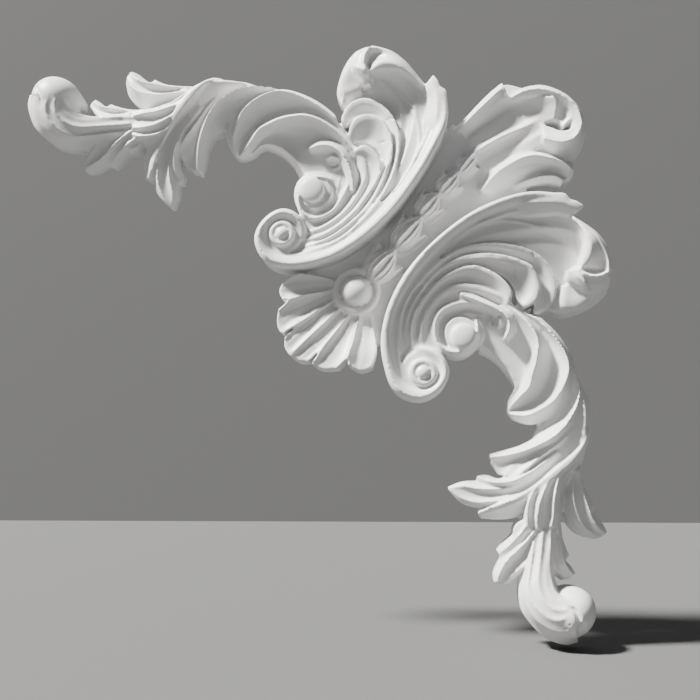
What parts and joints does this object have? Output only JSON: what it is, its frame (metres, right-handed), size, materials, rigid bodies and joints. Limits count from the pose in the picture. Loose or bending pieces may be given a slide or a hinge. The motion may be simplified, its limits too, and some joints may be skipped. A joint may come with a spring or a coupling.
{
  "type": "floral corner applique",
  "caption": "Moulded corner ornament in relief: paired C-scrolls with coiled eyes, a shell, a husk drop, a crest leaf and leafy curled arms.",
  "frame": {"origin": "on the flat back, behind the centre of the round button where the stem of husks starts", "axes": "+Y out of the flat back into the wall, so the relief faces -Y; one arm runs towards -X and the other towards -Z, and the line of symmetry runs along +X+Z"},
  "size_m": [0.3074, 0.0279, 0.3049],
  "materials": {
    "white_primed_resin": "satin white primer on moulded rigid foam"
  },
  "bodies": {
    "root": {"corner_applique": "white_primed_resin"}
  },
  "joints": []
}
